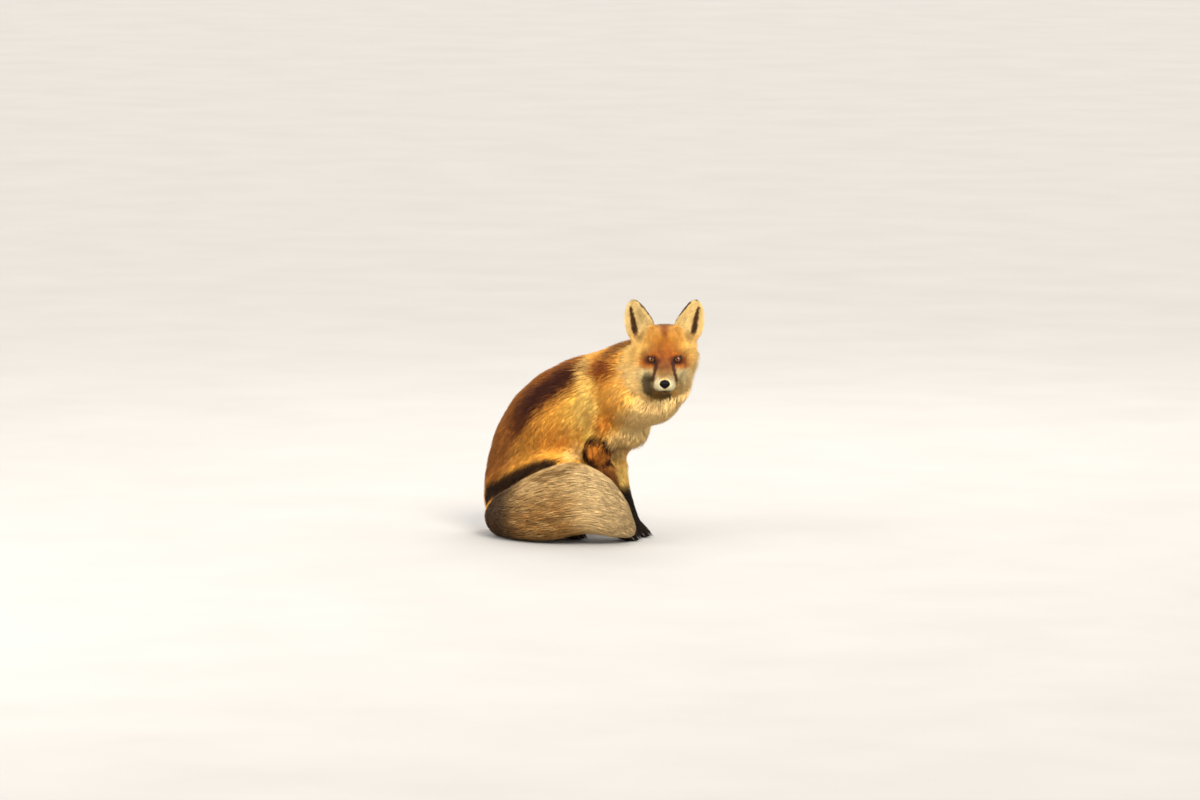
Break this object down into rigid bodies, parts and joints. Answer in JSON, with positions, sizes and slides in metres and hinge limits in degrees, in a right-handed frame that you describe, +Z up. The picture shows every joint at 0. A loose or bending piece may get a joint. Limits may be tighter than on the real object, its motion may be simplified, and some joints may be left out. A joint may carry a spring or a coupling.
{
  "type": "sitting red fox",
  "caption": "Life-size display model of a red fox in winter coat, sitting on its haunches with its head turned aside and its brush wrapped forward along its feet.",
  "frame": {"origin": "centre of the bounding box's underside, on the floor", "axes": "+Z up; +X is the way the body faces; +Y is the fox's left, so the right flank and the tail are towards -Y, and the head looks towards +X and -Y"},
  "size_m": [0.5458, 0.3248, 0.5246],
  "materials": {
    "coat": "golden red fur",
    "pale_coat": "cream fur",
    "tail_coat": "long grey-beige fur",
    "stocking": "short black fur",
    "nose_skin": "moist pebbled black skin",
    "eye": "glossy amber glass eye"
  },
  "bodies": {
    "root": {"head": "coat", "lower_jaw": "pale_coat", "nose_pad": "nose_skin", "eye_left": "eye", "eye_right": "eye", "ear_left": "coat", "ear_right": "coat", "neck": "pale_coat", "trunk": "coat", "front_leg_left": "coat", "front_leg_right": "coat", "front_paw_left": "stocking", "front_paw_right": "stocking", "hind_leg_left": "coat", "hind_leg_right": "coat", "hind_paw_left": "stocking", "hind_paw_right": "stocking", "tail_base": "tail_coat", "tail_middle": "tail_coat", "tail_tip": "tail_coat"}
  },
  "joints": []
}
